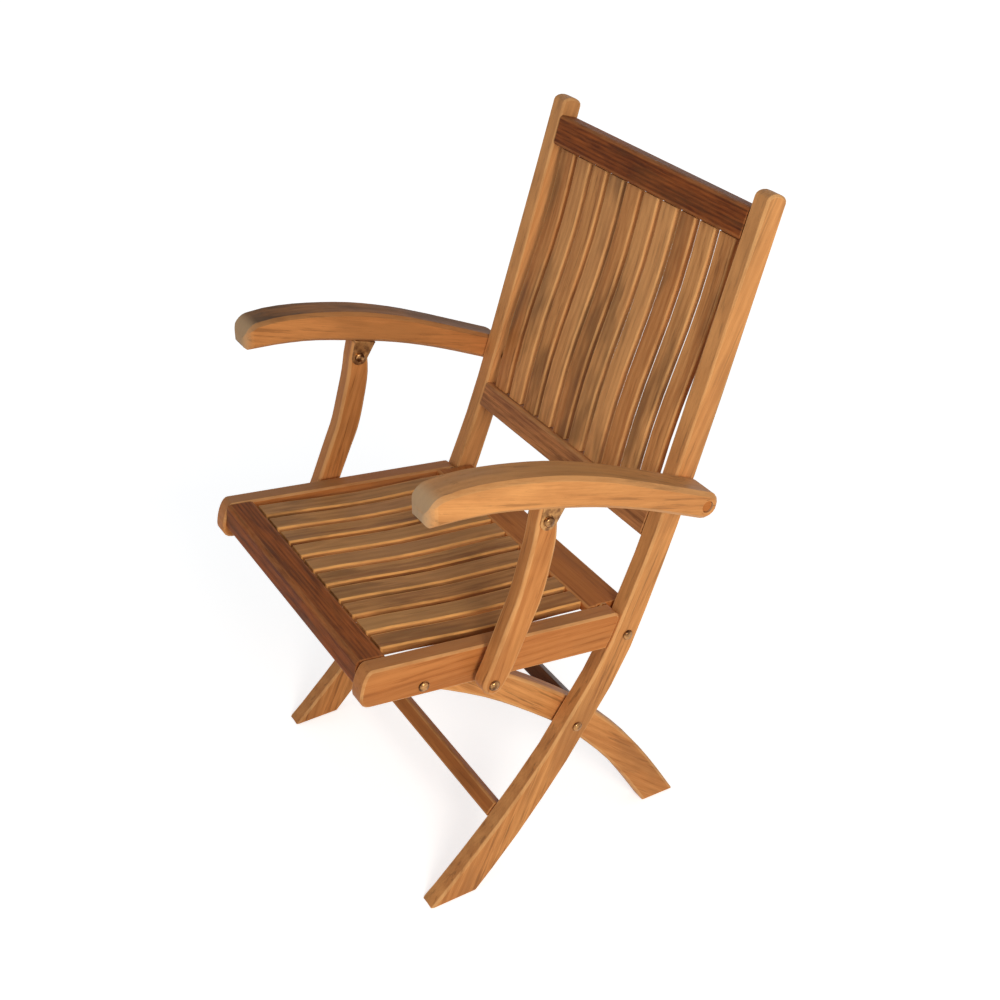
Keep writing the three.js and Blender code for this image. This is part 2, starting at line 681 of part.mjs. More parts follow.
// Bolts: leg pivot, seat hinge bracket, arm pivot, seat rail, support top and support foot
const spacerLength = supportInner - jointGap - railOuter - spacerClearance;
const spacerTail = [[spacerRadius, 0], [spacerRadius, spacerLength], [0, spacerLength]];
addBolts(backFrame, 'leg_pivot_bolt', legPivot, stileOuter + jointGap, legInner - jointGap, nutTail);
addBolts(backFrame, 'hinge_bracket_bolt', hingeBolt, stileOuter + jointGap, hingePlateInner, flushTail);
addBolts(backFrame, 'arm_pivot_bolt', armPivot, armBoltHeadX, betweenStiles, nutTail);
addBolts(seat, 'seat_rail_bolt', seatBolt, railOuter + jointGap, railInner, flushTail);
addBolts(arms, 'support_top_bolt', supportTopPivot, bracketOuter + jointGap, bracketInner - jointGap, nutTail);
addBolts(supports, 'support_foot_bolt', supportFootPivot, supportOuter + jointGap, supportInner - jointGap, spacerTail);

export default chair;
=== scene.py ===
# %% [markdown]
# # A folding teak armchair
#
# The chair comes as measured parts: every board, slat and bolt already has its size and its place.
# This lesson turns those plain parts into a piece of garden furniture. The boards get softened
# edges, grain that runs along the plank each one was sawn from, and edges worn pale by hands and
# weather. The bolts become domed brass heads on washers. All lengths are in metres.

import math
import random

import bmesh
import bpy
import numpy as np
from mathutils import Matrix, Vector


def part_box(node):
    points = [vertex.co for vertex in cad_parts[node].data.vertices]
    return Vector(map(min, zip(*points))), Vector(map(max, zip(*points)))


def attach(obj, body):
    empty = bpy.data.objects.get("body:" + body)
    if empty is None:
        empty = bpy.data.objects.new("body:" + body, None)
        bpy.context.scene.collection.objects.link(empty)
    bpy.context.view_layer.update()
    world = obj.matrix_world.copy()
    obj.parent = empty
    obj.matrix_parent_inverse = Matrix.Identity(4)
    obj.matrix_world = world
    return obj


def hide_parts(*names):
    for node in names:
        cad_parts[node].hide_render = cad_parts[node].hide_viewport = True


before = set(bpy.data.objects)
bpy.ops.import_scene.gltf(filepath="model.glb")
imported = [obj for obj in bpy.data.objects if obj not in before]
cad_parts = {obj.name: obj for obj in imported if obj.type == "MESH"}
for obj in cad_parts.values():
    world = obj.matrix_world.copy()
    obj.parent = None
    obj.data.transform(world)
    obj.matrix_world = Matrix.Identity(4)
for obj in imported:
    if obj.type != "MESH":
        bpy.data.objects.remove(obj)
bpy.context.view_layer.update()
random.seed(11)

# %% [markdown]
# ## The camera
#
# A picture of furniture is usually taken from above seat height with a slightly long lens. The
# camera here stands in front of the chair and to the sitter's left, 1.5 m up, and looks down at the
# seat. A straight placement with three turns is the simplest way, because nothing has to track.

# %% Place the camera
camera_turns = (58.5, 0.0, 59.55)
camera_data = bpy.data.cameras.new("camera")
camera_data.sensor_width = 36
camera_data.lens = 54.43
camera = bpy.data.objects.new("camera", camera_data)
camera.location = (1.5231, -0.8582, 1.5272)
camera.rotation_euler = [math.radians(angle) for angle in camera_turns]
bpy.context.scene.collection.objects.link(camera)
bpy.context.scene.camera = camera
bpy.context.scene.view_settings.view_transform = "Standard"
print("camera stands", round(camera.location.length, 2), "m from the floor under the chair's middle")

# %% [markdown]
# ## The studio
#
# The chair stands on white paper under soft light. The world gives an even light from all round,
# one large lamp from the sitter's left makes the outer side faces bright, and a weak one in front
# keeps the slats readable. What the camera and the gloss see of the world is plain white, which is
# set apart from the light it gives. The floor gets a glow of its own for the camera, which lifts
# the lit paper to white and leaves the shadows that the feet drop. It grows outward, because the
# lamps reach the far paper less.

# %% Helpers for node trees
def preset(node, values):
    for name, value in values.items():
        node.inputs[name].default_value = value


def add_node(tree, kind, place, **values):
    node = tree.nodes.new(kind)
    node.location = place
    for name, value in values.items():
        setattr(node, name, value)
    return node


def link(tree, source, target):
    tree.links.new(source, target)


def combined(tree, operation, first, second, place):
    """One number made of two others, such as their product or the larger one."""
    node = add_node(tree, "ShaderNodeMath", place, operation=operation)
    link(tree, first, node.inputs[0])
    link(tree, second, node.inputs[1])
    return node.outputs[0]


def seen_directly(tree, place):
    """1 for rays from the camera, from gloss and through glass, and 0 for light that scatters."""
    path = add_node(tree, "ShaderNodeLightPath", place).outputs
    right, up = place
    gloss = combined(tree, "MAXIMUM", path["Is Camera Ray"], path["Is Glossy Ray"], (right + 180, up))
    return combined(tree, "MAXIMUM", gloss, path["Is Transmission Ray"], (right + 360, up))


def emptied(owner):
    """The node tree of a world or a material, with nothing in it."""
    owner.use_nodes = True
    owner.node_tree.nodes.clear()
    return owner.node_tree


# %% Even light from the world
sky_light = 0.42
sky_colour = (0.94, 0.97, 1.0, 1)
white = (1, 1, 1, 1)
world = bpy.data.worlds.new("studio")
bpy.context.scene.world = world
tree = emptied(world)
light_part = add_node(tree, "ShaderNodeBackground", (0, 100))
preset(light_part, {"Color": sky_colour, "Strength": sky_light})
white_part = add_node(tree, "ShaderNodeBackground", (0, -100))
preset(white_part, {"Color": white, "Strength": 1})
mix = add_node(tree, "ShaderNodeMixShader", (200, 0))
output = add_node(tree, "ShaderNodeOutputWorld", (400, 0))
link(tree, seen_directly(tree, (-600, 300)), mix.inputs[0])
link(tree, light_part.outputs[0], mix.inputs[1])
link(tree, white_part.outputs[0], mix.inputs[2])
link(tree, mix.outputs[0], output.inputs["Surface"])
print("world light:", sky_light)

# %% Two large soft lamps
def soft_lamp(name, power, size, place, target, colour):
    data = bpy.data.lights.new(name, "AREA")
    data.energy = power
    data.size = size
    data.color = colour
    lamp = bpy.data.objects.new(name, data)
    lamp.location = place
    lamp.rotation_euler = (Vector(place) - Vector(target)).to_track_quat("Z", "Y").to_euler()
    bpy.context.scene.collection.objects.link(lamp)
    print(name, "gives", power, "W")


soft_lamp("side_lamp", power=23, size=0.7, place=(2.05, -0.35, 1.30), target=(0.2, 0.1, 0.5),
          colour=(1.0, 0.955, 0.88))
soft_lamp("front_lamp", power=4, size=1.0, place=(0.3, -2.4, 0.9), target=(0.0, 0.0, 0.4),
          colour=(1.0, 0.97, 0.92))

# %% White paper floor
floor_size = 14
floor_drop = 0.0008
paper_colour = (0.85, 0.85, 0.85, 1)
near_distance, far_distance = 0.5, 2.0
glow_near, glow_far = 0.60, 0.72
bpy.ops.object.select_all(action="DESELECT")
bpy.ops.mesh.primitive_plane_add(size=floor_size, location=(0, 0, -floor_drop))
floor = bpy.context.object
floor.name = "floor"
paper = bpy.data.materials.new("white_paper")
tree = emptied(paper)
shade = add_node(tree, "ShaderNodeBsdfDiffuse", (0, 100))
preset(shade, {"Color": paper_colour})
glow = add_node(tree, "ShaderNodeEmission", (0, -100))
spot = add_node(tree, "ShaderNodeTexCoord", (-1000, -300))
distance = add_node(tree, "ShaderNodeVectorMath", (-800, -300), operation="LENGTH")
outward = add_node(tree, "ShaderNodeMapRange", (-600, -300))
preset(outward, {"From Min": near_distance, "From Max": far_distance,
                 "To Min": glow_near, "To Max": glow_far})
link(tree, spot.outputs["Object"], distance.inputs[0])
link(tree, distance.outputs["Value"], outward.inputs["Value"])
seen = seen_directly(tree, (-800, 0))
strength = combined(tree, "MULTIPLY", seen, outward.outputs["Result"], (-200, -100))
both = add_node(tree, "ShaderNodeAddShader", (200, 0))
output = add_node(tree, "ShaderNodeOutputMaterial", (400, 0))
link(tree, strength, glow.inputs["Strength"])
link(tree, shade.outputs[0], both.inputs[0])
link(tree, glow.outputs[0], both.inputs[1])
link(tree, both.outputs[0], output.inputs["Surface"])
floor.data.materials.append(paper)
print("floor below the feet:", floor.location.z)

# %% [markdown]
# ## Teak
#
# Oiled teak is orange brown, with darker growth rings that show as long lines on a sawn face, and
# with fine dark pores. A picture of wood could be wrapped round each board, but a pattern made of
# noise fits any board and never repeats. Each board carries five attributes of its own: where a
# point lies in its plank (grain), how far its colour departs from the others (tone), where its
# edges are (edge), how much weathering and painted shade darken the faces that look up, and how
# grey its front end has gone (ash). Effects that all the woods use are node groups.

# %% Helpers for the wood's nodes
def new_group(name, inputs, outputs):
    group = bpy.data.node_groups.new(name, "ShaderNodeTree")
    for socket_name, kind in inputs:
        group.interface.new_socket(name=socket_name, in_out="INPUT", socket_type=kind)
    for socket_name, kind in outputs:
        group.interface.new_socket(name=socket_name, in_out="OUTPUT", socket_type=kind)
    start = add_node(group, "NodeGroupInput", (-1400, 0))
    end = add_node(group, "NodeGroupOutput", (1200, 0))
    return group, start.outputs, end.inputs


def scaled_noise(tree, place_socket, scale, place, detail, roughness, distortion=0.0):
    mapping = add_node(tree, "ShaderNodeMapping", place)
    preset(mapping, {"Scale": scale})
    noise = add_node(tree, "ShaderNodeTexNoise", (place[0] + 200, place[1]))
    preset(noise, {"Scale": 1, "Detail": detail, "Roughness": roughness, "Distortion": distortion})
    link(tree, place_socket, mapping.inputs["Vector"])
    link(tree, mapping.outputs["Vector"], noise.inputs["Vector"])
    return noise.outputs["Fac"]


def weighted(tree, first, weight, second, place):
    """first times weight plus second, where second is a socket or a number."""
    node = add_node(tree, "ShaderNodeMath", place, operation="MULTIPLY_ADD")
    link(tree, first, node.inputs[0])
    node.inputs[1].default_value = weight
    if isinstance(second, (int, float)):
        node.inputs[2].default_value = second
    else:
        link(tree, second, node.inputs[2])
    return node.outputs[0]


def spread(tree, value, place, low, high, out_low=0.0, out_high=1.0, smooth=True):
    """The value's range from low to high, drawn out or turned round to run from out_low to out_high."""
    node = add_node(tree, "ShaderNodeMapRange", place)
    node.interpolation_type = "SMOOTHSTEP" if smooth else "LINEAR"
    preset(node, {"From Min": low, "From Max": high, "To Min": out_low, "To Max": out_high})
    link(tree, value, node.inputs["Value"])
    return node.outputs["Result"]


def blended(tree, factor, first, second, place):
    """Mix of two colours. Each is a socket or three numbers, and the factor is a socket."""
    node = add_node(tree, "ShaderNodeMix", place, data_type="RGBA", blend_type="MIX")
    link(tree, factor, node.inputs[0])
    for socket, value in zip(node.inputs[6:8], (first, second)):
        if isinstance(value, tuple):
            socket.default_value = (*value, 1)
        else:
            link(tree, value, socket)
    return node.outputs[2]


# %% [markdown]
# The grain is four noises, drawn out along the plank and ever finer, over a faint wave for the
# growth rings. Their sum picks a colour between the dark and the light of the wood. Thin lines and
# pores are drawn on top, then the board's own tone, then stains, and last a dull brown on what
# faces up, which is partly weathering and partly painted shade on the upward faces.
# A noise scale is given in waves per metre for the three directions of the plank, the long one
# first.

# %% Grain as a group
broad_scale = (4, 26, 26)
line_scale = (8, 160, 160)
fibre_scale = (20, 520, 520)
pore_scale = (70, 2100, 2100)
patch_scale = (5, 17, 17)
ring_stretch = (0.06, 1, 1)
line_brown = (0.10, 0.035, 0.012)
pore_brown = (0.06, 0.02, 0.01)
warm_red = (0.47, 0.130, 0.024)
pale_straw = (0.88, 0.42, 0.155)
stain_brown = (0.150, 0.066, 0.024)
ring_share, broad_share, line_share, fibre_share = 0.08, 0.52, 0.26, 0.36
pore_strength = 0.35
fibre_relief, pore_relief = 0.5, -0.8

grain_group, start, end = new_group(
    "sawn_grain",
    [("Place", "NodeSocketVector"), ("Light", "NodeSocketColor"), ("Dark", "NodeSocketColor"),
     ("Tone", "NodeSocketFloat"), ("Weather_and_shade", "NodeSocketFloat"), ("Faded_and_shaded", "NodeSocketColor"),
     ("Stain", "NodeSocketFloat")],
    [("Colour", "NodeSocketColor"), ("Height", "NodeSocketFloat"), ("Polish", "NodeSocketFloat")])
tree, spot = grain_group, start["Place"]
broad = scaled_noise(tree, spot, broad_scale, (-1150, 500), detail=4, roughness=0.6, distortion=0.8)
lines = scaled_noise(tree, spot, line_scale, (-1150, 250), detail=4, roughness=0.65)
fibres = scaled_noise(tree, spot, fibre_scale, (-1150, 0), detail=4, roughness=0.7)
pores = scaled_noise(tree, spot, pore_scale, (-1150, -250), detail=2, roughness=0.5)
patches = scaled_noise(tree, spot, patch_scale, (-1150, -700), detail=3, roughness=0.6)
stretch = add_node(tree, "ShaderNodeMapping", (-1150, 750))
preset(stretch, {"Scale": ring_stretch})
rings = add_node(tree, "ShaderNodeTexWave", (-950, 750), wave_type="BANDS", bands_direction="Y")
preset(rings, {"Scale": 30, "Distortion": 2.2, "Detail": 2, "Detail Scale": 0.6})
link(tree, spot, stretch.inputs["Vector"])
link(tree, stretch.outputs["Vector"], rings.inputs["Vector"])

mixed = weighted(tree, rings.outputs["Fac"], ring_share, 0.0, (-600, 700))
mixed = weighted(tree, broad, broad_share, mixed, (-420, 600))
mixed = weighted(tree, lines, line_share, mixed, (-240, 500))
mixed = weighted(tree, fibres, fibre_share, mixed, (-60, 400))
figure = spread(tree, mixed, (120, 400), low=0.44, high=0.80)
colour = blended(tree, figure, start["Dark"], start["Light"], (300, 300))
thin_line = spread(tree, lines, (120, 100), low=0.33, high=0.44, out_low=0.45, out_high=0.0)
colour = blended(tree, thin_line, colour, line_brown, (480, 300))
pore_mask = spread(tree, pores, (120, -150), low=0.34, high=0.28)
pore_shade = weighted(tree, pore_mask, pore_strength, 0.0, (300, -150))
colour = blended(tree, pore_shade, colour, pore_brown, (640, 300))

warmth = spread(tree, start["Tone"], (120, -350), low=0.0, high=1.0, out_high=0.55, smooth=False)
colour = blended(tree, warmth, colour, warm_red, (640, 120))
paleness = spread(tree, start["Tone"], (120, -550), low=0.0, high=-1.0, out_high=0.45, smooth=False)
colour = blended(tree, paleness, colour, pale_straw, (760, 60))
stained = spread(tree, patches, (120, -750), low=0.47, high=0.66)
stain = combined(tree, "MULTIPLY", stained, start["Stain"], (300, -750))
colour = blended(tree, stain, colour, stain_brown, (860, 60))
# A dull brown on the faces that look up, partly weathering and partly painted shade.
patchy = spread(tree, patches, (120, -950), low=0.62, high=0.38, out_low=0.45)
shaded_weathering = combined(tree, "MULTIPLY", patchy, start["Weather_and_shade"], (300, -950))
colour = blended(tree, shaded_weathering, colour, start["Faded_and_shaded"], (960, 60))
link(tree, colour, end["Colour"])

relief = weighted(tree, fibres, fibre_relief, lines, (300, -350))
relief = weighted(tree, pore_mask, pore_relief, relief, (480, -350))
link(tree, relief, end["Height"])
polish = spread(tree, broad, (300, -550), low=0.3, high=0.7, out_low=0.44, out_high=0.60, smooth=False)
link(tree, polish, end["Polish"])
print("grain nodes:", len(grain_group.nodes))

# %% [markdown]
# Edges of garden furniture rub pale. The attribute named edge is 1 along each rounded edge, or a
# little less on a board that is rubbed less, and fades to 0 a little way into the face. Noise
# breaks it up, so that the wear comes and goes along the board as it does on a real one.

# %% Worn edges as a group
wear_scale = (14, 60, 60)
wear_group, start, end = new_group(
    "worn_edges",
    [("Place", "NodeSocketVector"), ("Edge", "NodeSocketFloat"), ("Colour", "NodeSocketColor"),
     ("Worn", "NodeSocketColor"), ("Amount", "NodeSocketFloat")],
    [("Colour", "NodeSocketColor")])
tree = wear_group
patches = scaled_noise(tree, start["Place"], wear_scale, (-1150, -150), detail=4, roughness=0.65)
patchy = spread(tree, patches, (-700, -150), low=0.30, high=0.62, out_low=0.25)
near = spread(tree, start["Edge"], (-700, 100), low=0.45, high=1.0)
rubbed = combined(tree, "MULTIPLY", patchy, near, (-450, 0))
amount = combined(tree, "MULTIPLY", rubbed, start["Amount"], (-250, 0))
colour = blended(tree, amount, start["Colour"], start["Worn"], (100, 100))
link(tree, colour, end["Colour"])
print("wear nodes:", len(wear_group.nodes))

# %% [markdown]
# One recipe makes every wood. They differ in the light and the dark of their grain, in the colour
# and amount of their worn edges, in their gloss, in the dull brown of weathering and painted shade
# on what faces up, and in their stains. Besides the plain teak there is one for the slats of the
# back, one for those of the seat, a darker copy that paints shade on boards in the shade, one for
# the brown lower rail of the back, one for the two dark rails and one, nearly black, that paints
# the shade on the stretcher between the rear legs.

# %% The woods
ash_grey = (0.52, 0.355, 0.205)
# Dull browns for the faces that look up, partly weathering and partly painted shade; the darker one is
# for boards in shade.
weathered_shade_brown = (0.26, 0.14, 0.058)
shade_brown = (0.075, 0.041, 0.023)


def group_node(tree, group, place, values):
    node = add_node(tree, "ShaderNodeGroup", place)
    node.node_tree = group
    preset(node, values)
    return node


def wood(name, light, dark, worn, wear, gloss, faded_and_shaded=weathered_shade_brown, stain=0.3):
    material = bpy.data.materials.new(name)
    tree = emptied(material)
    spot, tone, edge, weather_and_shade, ash = [
        add_node(tree, "ShaderNodeAttribute", (-1000, 200 - 200 * row), attribute_name=attribute).outputs
        for row, attribute in enumerate(("grain", "tone", "edge", "weather_and_shade", "ash"))]
    grain = group_node(tree, grain_group, (-700, 200), {
        "Light": (*light, 1), "Dark": (*dark, 1), "Faded_and_shaded": (*faded_and_shaded, 1), "Stain": stain})
    rub = group_node(tree, wear_group, (-450, 100), {"Worn": (*worn, 1), "Amount": wear})
    shader = add_node(tree, "ShaderNodeBsdfPrincipled", (0, 0))
    preset(shader, {"IOR": 1.45, "Specular IOR Level": gloss})
    bump = add_node(tree, "ShaderNodeBump", (-250, -200))
    preset(bump, {"Strength": 0.35, "Distance": 0.0006})
    output = add_node(tree, "ShaderNodeOutputMaterial", (300, 0))
    link(tree, spot["Vector"], grain.inputs["Place"])
    link(tree, tone["Fac"], grain.inputs["Tone"])
    link(tree, weather_and_shade["Fac"], grain.inputs["Weather_and_shade"])
    link(tree, spot["Vector"], rub.inputs["Place"])
    link(tree, edge["Fac"], rub.inputs["Edge"])
    link(tree, grain.outputs["Colour"], rub.inputs["Colour"])
    colour = blended(tree, ash["Fac"], rub.outputs["Colour"], ash_grey, (-200, 200))
    link(tree, colour, shader.inputs["Base Color"])
    link(tree, grain.outputs["Polish"], shader.inputs["Roughness"])
    link(tree, grain.outputs["Height"], bump.inputs["Height"])
    link(tree, bump.outputs["Normal"], shader.inputs["Normal"])
    link(tree, shader.outputs[0], output.inputs["Surface"])
    return material


teak = wood("teak", light=(0.80, 0.355, 0.112), dark=(0.53, 0.20, 0.054), worn=(0.92, 0.52, 0.21),
            wear=0.45, gloss=0.16, stain=0.26)
slat_teak = wood("slat_teak", light=(0.84, 0.40, 0.140), dark=(0.46, 0.175, 0.050),
                 worn=(0.92, 0.52, 0.20), wear=0.45, gloss=0.14, stain=0.62)
# A darker copy of teak, with a darker top, that paints shade on boards that lie in shade.
shade_painted_teak = wood("shade_painted_teak", light=(0.70, 0.275, 0.080), dark=(0.44, 0.155, 0.042),
                worn=(0.80, 0.42, 0.16), wear=0.40, gloss=0.06, faded_and_shaded=shade_brown)
brown_teak = wood("brown_teak", light=(0.73, 0.300, 0.105), dark=(0.28, 0.095, 0.033),
                  worn=(0.80, 0.40, 0.15), wear=0.40, gloss=0.12)
dark_teak = wood("dark_teak", light=(0.39, 0.104, 0.025), dark=(0.092, 0.019, 0.006),
                 worn=(0.52, 0.21, 0.07), wear=0.40, gloss=0.06)
seat_teak = wood("seat_teak", light=(0.84, 0.42, 0.140), dark=(0.34, 0.125, 0.036),
                 worn=(1.0, 0.50, 0.15), wear=0.75, gloss=0.12, stain=0.70)
# Nearly black: painted shade for the stretcher deep under the seat.
shade_black_teak = wood("shade_black_teak", light=(0.13, 0.047, 0.021), dark=(0.045, 0.015, 0.008),
                   worn=(0.25, 0.11, 0.05), wear=0.25, gloss=0.10)

# %% [markdown]
# ## Brass
#
# The bolts and brackets are brass that has dulled outdoors: still golden where it is rubbed, brown
# in between. The brackets, which no hand rubs, have lost their shine all over. It is a metal in
# both places, so only its colour and its gloss change.

# %% Dulled brass
cloud_scale = (120, 120, 120)
speck_scale = (900, 900, 900)


def dulled_brass(name, rubbed, tarnished, smoothest, roughest):
    material = bpy.data.materials.new(name)
    tree = emptied(material)
    spot = add_node(tree, "ShaderNodeTexCoord", (-1200, 0)).outputs["Object"]
    cloud = scaled_noise(tree, spot, cloud_scale, (-1000, 200), detail=3, roughness=0.5)
    specks = scaled_noise(tree, spot, speck_scale, (-1000, -100), detail=3, roughness=0.6)
    dulled = spread(tree, cloud, (-550, 200), low=0.36, high=0.66)
    colour = blended(tree, dulled, rubbed, tarnished, (-300, 200))
    gloss = spread(tree, cloud, (-550, -100), low=0.3, high=0.7, out_low=smoothest, out_high=roughest,
                   smooth=False)
    bump = add_node(tree, "ShaderNodeBump", (-300, -200))
    preset(bump, {"Strength": 0.25, "Distance": 0.0003})
    shader = add_node(tree, "ShaderNodeBsdfPrincipled", (0, 0))
    preset(shader, {"Metallic": 1})
    output = add_node(tree, "ShaderNodeOutputMaterial", (300, 0))
    link(tree, colour, shader.inputs["Base Color"])
    link(tree, gloss, shader.inputs["Roughness"])
    link(tree, specks, bump.inputs["Height"])
    link(tree, bump.outputs["Normal"], shader.inputs["Normal"])
    link(tree, shader.outputs[0], output.inputs["Surface"])
    return material


brass = dulled_brass("brass", rubbed=(0.46, 0.235, 0.090), tarnished=(0.12, 0.055, 0.024),
                     smoothest=0.14, roughest=0.30)
brown_brass = dulled_brass("brown_brass", rubbed=(0.52, 0.270, 0.100), tarnished=(0.22, 0.100, 0.040),
                           smoothest=0.36, roughest=0.50)
print("metals:", brass.name, brown_brass.name)

# %% [markdown]
# ## Boards
#
# Each board of the chair is sawn to a curve, planed, and its edges are eased with sandpaper. The
# measured board has one plain chamfer for that. A copy of it is opened in edit mode: loose
# triangles are merged, the broad sides are split again into well shaped triangles, the sharp lines
# on both sides of each chamfer get a small round bevel, and the flat faces get an inset ring, which
# gives the worn edge a line to fade out on. Without the new split a ring round a bolt hole could
# run over a long line that passes close by. At an acute corner, such as the tip of a foot, the
# bevel pushes a few points out, and these are drawn back into the board's own box.

# %% Working on one piece at a time
level_angle = math.radians(0.8)


def only(piece):
    bpy.ops.object.select_all(action="DESELECT")
    piece.select_set(True)
    bpy.context.view_layer.objects.active = piece


def copy_of_part(node, suffix):
    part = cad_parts[node]
    piece = bpy.data.objects.new(f"{node}_{suffix}", part.data.copy())
    bpy.context.scene.collection.objects.link(piece)
    piece.data.materials.clear()
    only(piece)
    return piece


def open_merged(merge_distance):
    """Opens the active piece in edit mode and merges loose triangles into whole faces."""
    bpy.ops.object.mode_set(mode="EDIT")
    bpy.ops.mesh.select_mode(type="VERT")
    bpy.ops.mesh.select_all(action="SELECT")
    bpy.ops.mesh.remove_doubles(threshold=merge_distance)
    bpy.ops.mesh.dissolve_limited(angle_limit=level_angle)


def select_sharp(angle):
    bpy.ops.mesh.select_mode(type="EDGE")
    bpy.ops.mesh.select_all(action="DESELECT")
    bpy.ops.mesh.edges_select_sharp(sharpness=angle)


def select_faces(piece, test):
    """In edit mode: selects the faces that pass the test and nothing else."""
    bpy.ops.mesh.select_mode(type="FACE")
    bpy.ops.mesh.select_all(action="DESELECT")
    for face in bmesh.from_edit_mesh(piece.data).faces:
        face.select_set(test(face))
    bmesh.update_edit_mesh(piece.data)


# %% Points and directions of a board
def corner_points(piece):
    points = np.empty(len(piece.data.vertices) * 3)
    piece.data.vertices.foreach_get("co", points)
    return points.reshape(-1, 3)


def keep_inside(piece, low, high):
    """Draws back the few points that a bevel pushed out of the board's own box."""
    piece.data.vertices.foreach_set("co", np.clip(corner_points(piece), low, high).ravel())
    piece.data.update()


def plank_axes(points):
    """Middle of a board's points and its three own directions, the longest first."""
    middle = (points.min(axis=0) + points.max(axis=0)) / 2
    spreads, axes = np.linalg.eigh(np.cov((points - points.mean(axis=0)).T))
    order = np.argsort(spreads)[::-1]
    axes = axes[:, order].T
    axes = np.array([axis * (1 if axis[np.abs(axis).argmax()] > 0 else -1) for axis in axes])
    return middle, axes


# %% [markdown]
# The place in the plank is the point's own place, seen along the board's directions and shifted at
# random, so that no two boards show the same stretch of grain. The tone runs from the board's
# lower end to its upper end. What faces up gets a dull brown, partly weathering and partly painted
# shade, and only the end that points to the front of the chair turns grey.

# %% Attributes of a board
nearest_shift, farthest_shift = 2, 30
weather_and_shade_power = 1.5
ash_gain = 1.5


def write_board_attributes(piece, inner, axes, middle, tones, wear, weathered_and_shaded, fineness, nose_grey):
    """Grain place, tone, edge mask, weathering with painted shade, and ash of every corner point of a
    board.
    """
    mesh = piece.data
    points = corner_points(piece)
    shift = np.array([random.uniform(nearest_shift, farthest_shift) for _ in range(3)])
    grain = (points - middle) @ axes.T * fineness + shift
    heights = points[:, 2]
    raised = (heights - heights.min()) / (heights.max() - heights.min())
    foot_tone, top_tone = tones
    normals = [vertex.normal for vertex in mesh.vertices]
    forward = [min(1.0, max(0.0, -ash_gain * normal.y)) for normal in normals]
    sideways = [normal.x ** 2 for normal in normals]
    values_of = {
        "tone": foot_tone + (top_tone - foot_tone) * raised,
        "edge": [0.0 if index in inner else wear for index in range(len(mesh.vertices))],
        # weathering and painted shade on the faces that look up
        "weather_and_shade": [weathered_and_shaded * max(0.0, normal.z) ** weather_and_shade_power for normal in normals],
        "ash": [nose_grey * (1 - side) * front for side, front in zip(sideways, forward)],
    }
    mesh.attributes.new("grain", "FLOAT_VECTOR", "POINT").data.foreach_set("vector", grain.ravel())
    for name, values in values_of.items():
        mesh.attributes.new(name, "FLOAT", "POINT").data.foreach_set("value", values)


# %% [markdown]
# A face counts as flat when its normal points nearly along a known way. Most boards are flat on
# their two broad sides and on everything that runs square to them. The bars that cross the chair
# are flat at their ends and on the two ways round their length.

# %% Turn one measured board into a finished one
merge_distance = 0.0003
ridge_angle = math.radians(28)
smooth_angle = math.radians(40)
broad_side, true_side, square_to_side = 0.98, 0.995, 0.08
along_flat_way = 0.99
chair_width_way = Vector((1, 0, 0))


def finish_board(node, body, material, ease, rings=2, tone=0.0, crosswise=False, ring_width=0.0022,
                 wear=1.0, weathered_and_shaded=0.62, foot_tone=None, fineness=1.0, nose_grey=0.0):
    piece = copy_of_part(node, "wood")
    points = corner_points(piece)
    middle, axes = plank_axes(points)
    open_merged(merge_distance)
    select_faces(piece, lambda face: abs(face.normal.x) > broad_side)
    bpy.ops.mesh.quads_convert_to_tris(quad_method="BEAUTY", ngon_method="BEAUTY")
    bpy.ops.mesh.beautify_fill()
    faces = bmesh.from_edit_mesh(piece.data).faces
    broad = max(faces, key=lambda face: face.calc_area()).normal.copy()
    flat_ways = (broad, broad.cross(chair_width_way))

    def is_flat(face):
        across = abs(face.normal.x)
        if crosswise:
            nearest = max(abs(face.normal.dot(way)) for way in flat_ways)
            return across > broad_side or nearest > along_flat_way
        return across < square_to_side or across > true_side

    select_sharp(ridge_angle)
    bpy.ops.mesh.bevel(offset=ease, segments=rings, profile=0.5, affect="EDGES", clamp_overlap=True,
                       loop_slide=False)
    select_faces(piece, is_flat)
    bpy.ops.mesh.inset(thickness=ring_width, use_even_offset=True)
    bpy.ops.object.mode_set(mode="OBJECT")
    keep_inside(piece, points.min(axis=0), points.max(axis=0))
    inner = {vertex.index for vertex in piece.data.vertices if vertex.select}
    tones = (tone if foot_tone is None else foot_tone, tone)
    write_board_attributes(piece, inner, axes, middle, tones, wear, weathered_and_shaded, fineness, nose_grey)
    bpy.ops.object.shade_smooth_by_angle(angle=smooth_angle)
    piece.modifiers.new("even_faces", "WEIGHTED_NORMAL").keep_sharp = True
    bpy.ops.object.modifier_apply(modifier="even_faces")
    piece.data.materials.append(material)
    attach(piece, body)
    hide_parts(node)


# %% [markdown]
# The curved boards come first: two stiles, each a rear post and a front leg in one, two rear legs
# that cross them, the armrests and their supports. Every one is a separate piece on the body that
# it moves with, so that the chair still folds.

# %% Curved boards of both sides
board_ease, armrest_ease, plug_ease = 0.0009, 0.0018, 0.0005
